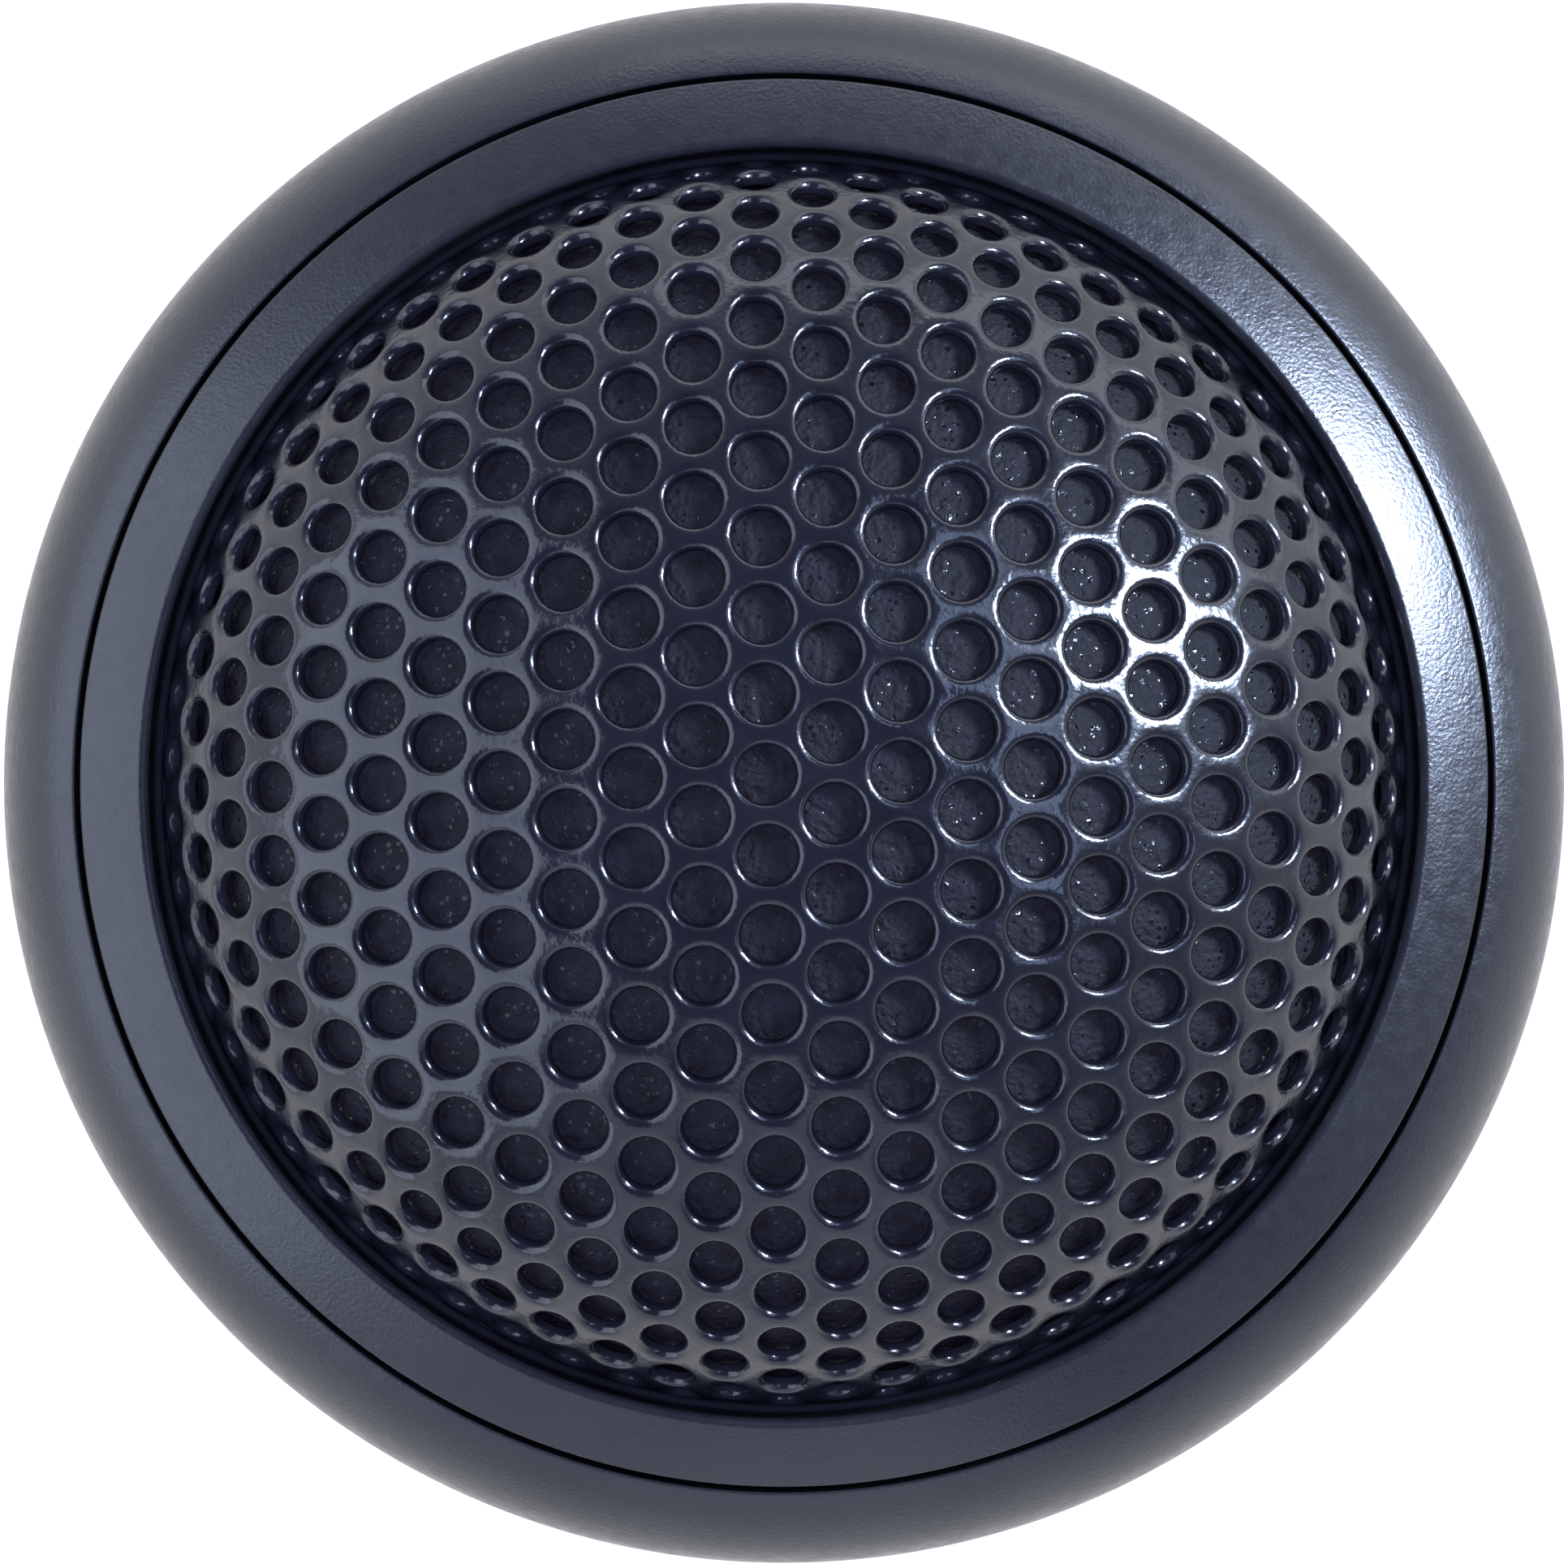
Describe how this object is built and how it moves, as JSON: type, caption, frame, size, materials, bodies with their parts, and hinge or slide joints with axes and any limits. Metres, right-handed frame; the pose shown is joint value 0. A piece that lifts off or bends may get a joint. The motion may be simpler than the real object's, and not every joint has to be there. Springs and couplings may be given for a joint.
{
  "type": "car tweeter",
  "caption": "Flush-mount car tweeter: soft-dome driver behind a domed perforated grille, in a round cup held in a panel hole by a lock nut.",
  "frame": {"origin": "on the axis, in the plane of the flange's back face, where it meets the panel", "axes": "+Z along the axis in the listening direction; +X towards the positive terminal; +Y from the terminals towards the capacitor"},
  "size_m": [0.05, 0.05, 0.0382],
  "materials": {
    "painted_cup": "satin black paint with a fine sand texture",
    "painted_trim": "satin black paint with a fine sand texture",
    "painted_grille": "semi-gloss black dip paint",
    "gasket_foam": "closed-cell foam rubber",
    "zinc_plated_steel": "bright zinc plate",
    "nut_plastic": "moulded, fine spark texture",
    "acoustic_foam": "open-cell foam",
    "chassis_plastic": "moulded, satin",
    "spring_steel": "oiled spring steel",
    "screw_steel": "zinc plated",
    "fibre_board": "pressed fibre board",
    "coated_cloth": "coated woven cloth",
    "coated_silk": "coated woven silk",
    "former_film": "polyimide film",
    "copper_wire": "enamelled copper wire",
    "nickel_plate": "nickel plate",
    "felt": "pressed wool felt",
    "tinned_brass": "tinned brass",
    "red_sleeve": "extruded sleeve",
    "black_sleeve": "extruded sleeve",
    "phenolic": "paper laminate",
    "capacitor_sleeve": "shrink sleeve",
    "tinned_copper": "tinned copper wire"
  },
  "bodies": {
    "root": {"flush_cup": "painted_cup", "panel_gasket": "gasket_foam", "trim_ring": "painted_trim", "grille": "painted_grille", "foam_liner": "acoustic_foam", "chassis": "chassis_plastic", "snap_ring": "spring_steel", "clamp_ring": "chassis_plastic", "front_screws": "screw_steel", "diaphragm_ring": "fibre_board", "surround": "coated_cloth", "pole_plate": "zinc_plated_steel", "magnet": "nickel_plate", "pole_cup": "zinc_plated_steel", "damping_felt": "felt", "lead_tags": "tinned_brass", "lead_wire_positive": "red_sleeve", "lead_wire_negative": "black_sleeve", "rear_cover": "chassis_plastic", "rear_screws": "screw_steel", "terminal_board": "phenolic", "terminal_positive": "tinned_brass", "terminal_negative": "tinned_brass", "terminal_rivets": "tinned_brass", "capacitor": "capacitor_sleeve", "capacitor_leads": "tinned_copper"},
    "diaphragm": {"dome_diaphragm": "coated_silk", "voice_coil_former": "former_film", "voice_coil": "copper_wire"},
    "clamp_washer": {"clamp_washer": "zinc_plated_steel"},
    "lock_nut": {"lock_nut": "nut_plastic"}
  },
  "joints": [
    {"name": "diaphragm_travel", "type": "slide", "parent": "root", "child": "diaphragm", "axis": [0, 0, 1], "range_m": [-0.0004, 0.0004], "stiffness_N_per_m": 100, "deforming": ["surround"]},
    {"name": "nut_slide", "type": "slide", "parent": "root", "child": "clamp_washer", "axis": [0, 0, 1], "range_m": [-0.008, 0.002]},
    {"name": "nut_turn", "type": "hinge", "parent": "clamp_washer", "child": "lock_nut", "pos_m": [0, 0, 0], "axis": [0, 0, 1], "range_deg": [-1441, 361]}
  ],
  "couplings": [
    {"joint": "nut_turn", "follows": "nut_slide", "rad_per_m": 3141.6}
  ]
}
